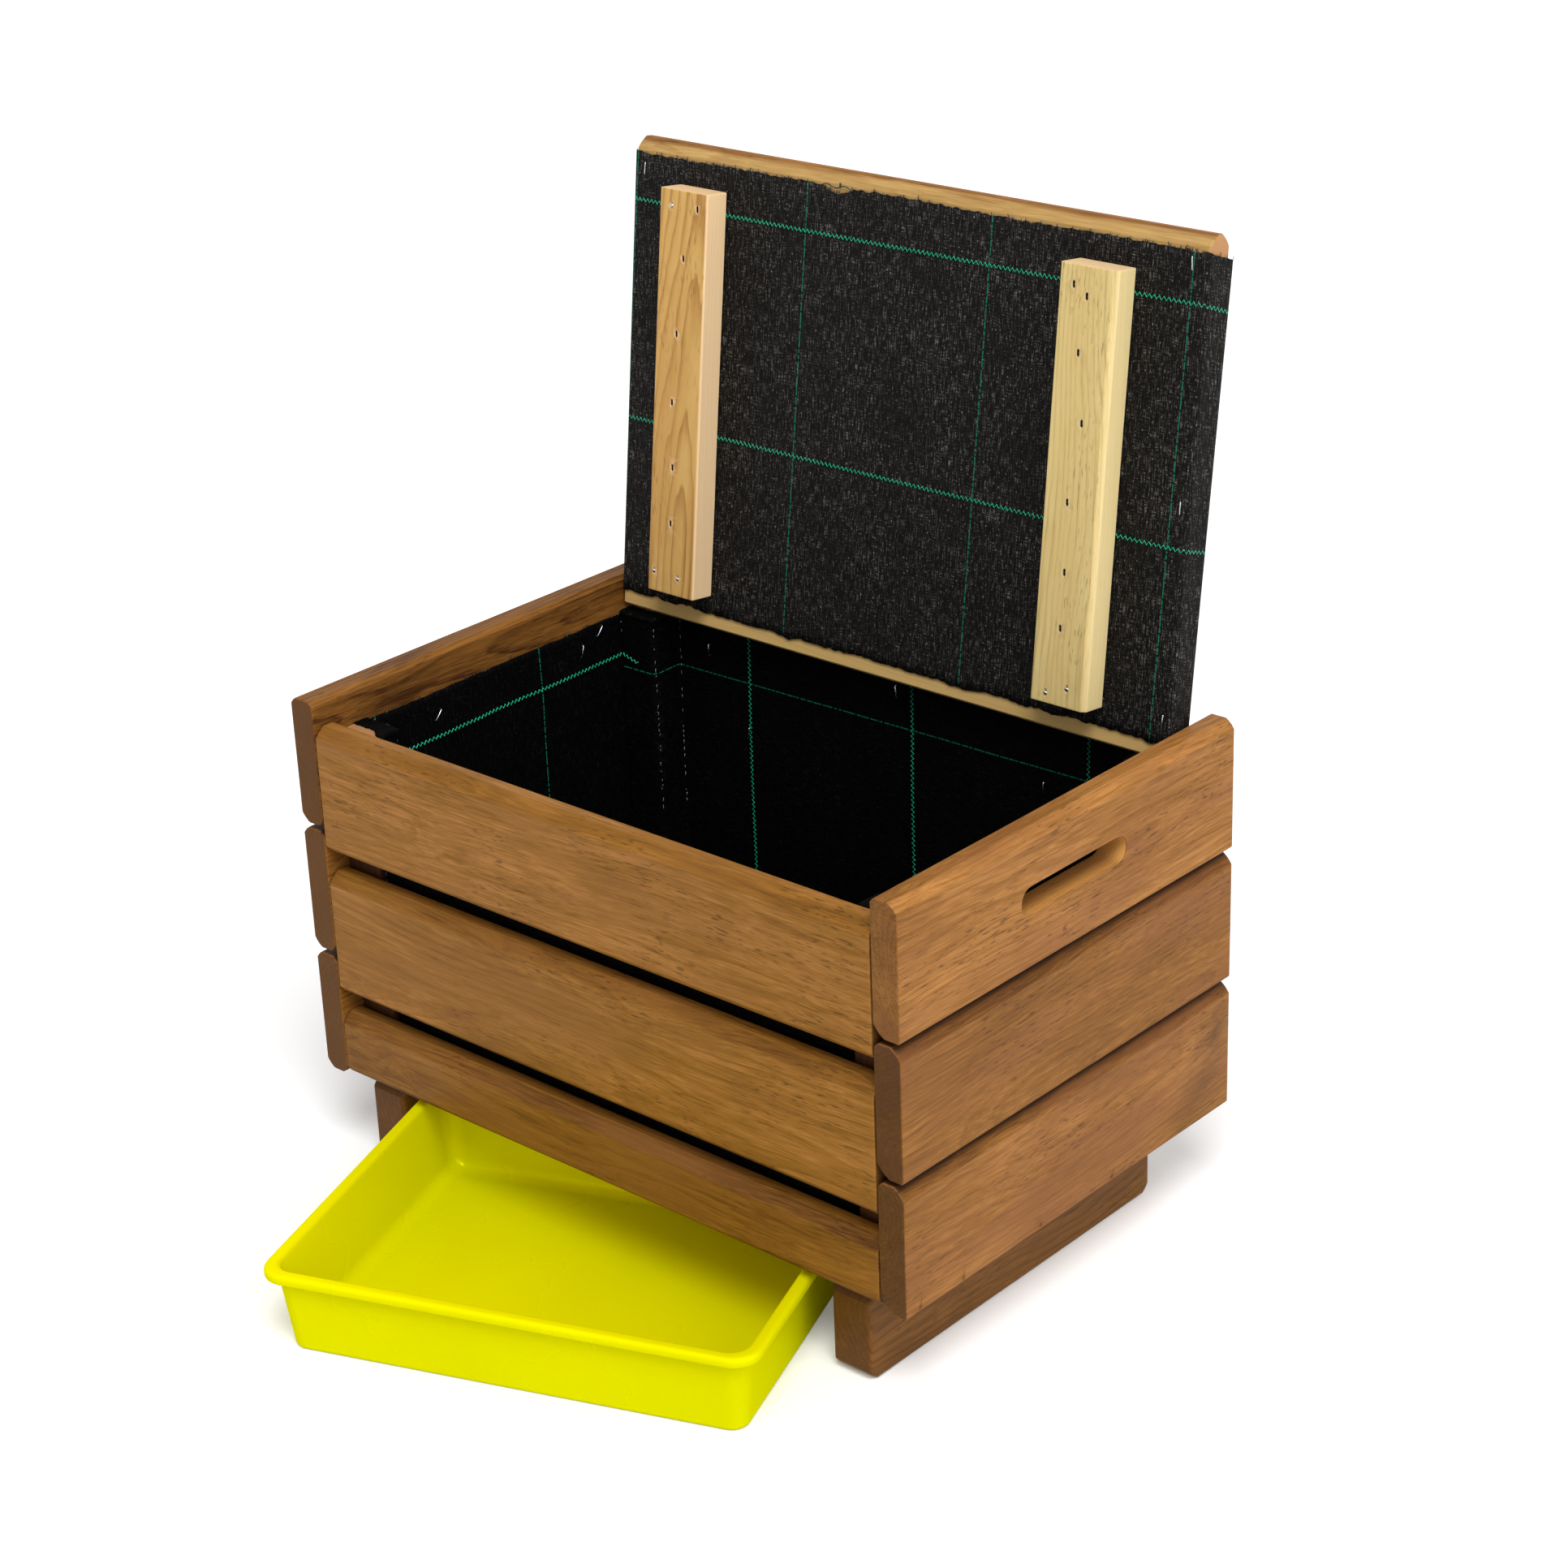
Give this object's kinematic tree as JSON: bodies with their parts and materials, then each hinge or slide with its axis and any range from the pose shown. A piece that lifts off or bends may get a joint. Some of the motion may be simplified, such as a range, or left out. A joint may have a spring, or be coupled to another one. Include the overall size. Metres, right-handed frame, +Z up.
{
  "type": "wormery",
  "caption": "Wooden wormery: a box of stained boards on skids, lined with black fabric, its loose battened lid leaning open at the back and a lime plastic tray drawn out from under the floor.",
  "frame": {"origin": "on the ground, at the middle of the footprint of the box with its lid leaning open and its tray drawn out", "axes": "+X to the right seen from the front, along the boards of the front; +Y to the back; +Z up"},
  "size_m": [0.6, 0.6404, 0.7494],
  "materials": {
    "stained_pine": "satin",
    "pale_pine": "matte",
    "weed_fabric": "matte",
    "lime_plastic": "gloss",
    "zinc_steel": "brushed"
  },
  "bodies": {
    "box": {"side_board_left_bottom": "stained_pine", "side_board_left_middle": "stained_pine", "side_board_left_top": "stained_pine", "side_board_right_bottom": "stained_pine", "side_board_right_middle": "stained_pine", "side_board_right_top": "stained_pine", "front_board_bottom": "stained_pine", "front_board_middle": "stained_pine", "front_board_top": "stained_pine", "back_board_bottom": "stained_pine", "back_board_middle": "stained_pine", "back_board_top": "stained_pine", "skid_left": "stained_pine", "skid_right": "stained_pine", "corner_post_front_left": "pale_pine", "corner_post_front_right": "pale_pine", "corner_post_back_left": "pale_pine", "corner_post_back_right": "pale_pine", "floor_slat_1": "pale_pine", "floor_slat_2": "pale_pine", "floor_slat_3": "pale_pine", "floor_slat_4": "pale_pine", "liner_floor": "weed_fabric", "liner_left": "weed_fabric", "liner_right": "weed_fabric", "liner_front": "weed_fabric", "liner_back": "weed_fabric"},
    "lid": {"lid_board_1": "stained_pine", "lid_board_2": "stained_pine", "lid_board_3": "stained_pine", "lid_board_4": "stained_pine", "lid_liner": "weed_fabric", "lid_batten_left": "pale_pine", "lid_batten_right": "pale_pine", "lid_nail_left_1": "zinc_steel", "lid_nail_left_2": "zinc_steel", "lid_nail_left_3": "zinc_steel", "lid_nail_left_4": "zinc_steel", "lid_nail_left_5": "zinc_steel", "lid_nail_left_6": "zinc_steel", "lid_nail_left_7": "zinc_steel", "lid_nail_left_8": "zinc_steel", "lid_nail_left_9": "zinc_steel", "lid_nail_right_1": "zinc_steel", "lid_nail_right_2": "zinc_steel", "lid_nail_right_3": "zinc_steel", "lid_nail_right_4": "zinc_steel", "lid_nail_right_5": "zinc_steel", "lid_nail_right_6": "zinc_steel", "lid_nail_right_7": "zinc_steel", "lid_nail_right_8": "zinc_steel", "lid_nail_right_9": "zinc_steel"},
    "tray_body": {"tray": "lime_plastic"}
  },
  "joints": [
    {"name": "lid_tip", "type": "hinge", "parent": "box", "child": "lid", "pos_m": [0, 0.26743, 0.3898], "axis": [1, 0, 0], "range_deg": [0, 97]},
    {"name": "tray_swing", "type": "hinge", "parent": "box", "child": "tray_body", "pos_m": [0.61254, 0.02994, 0], "axis": [0, 0, 1], "range_deg": [-20.5, 20]}
  ]
}
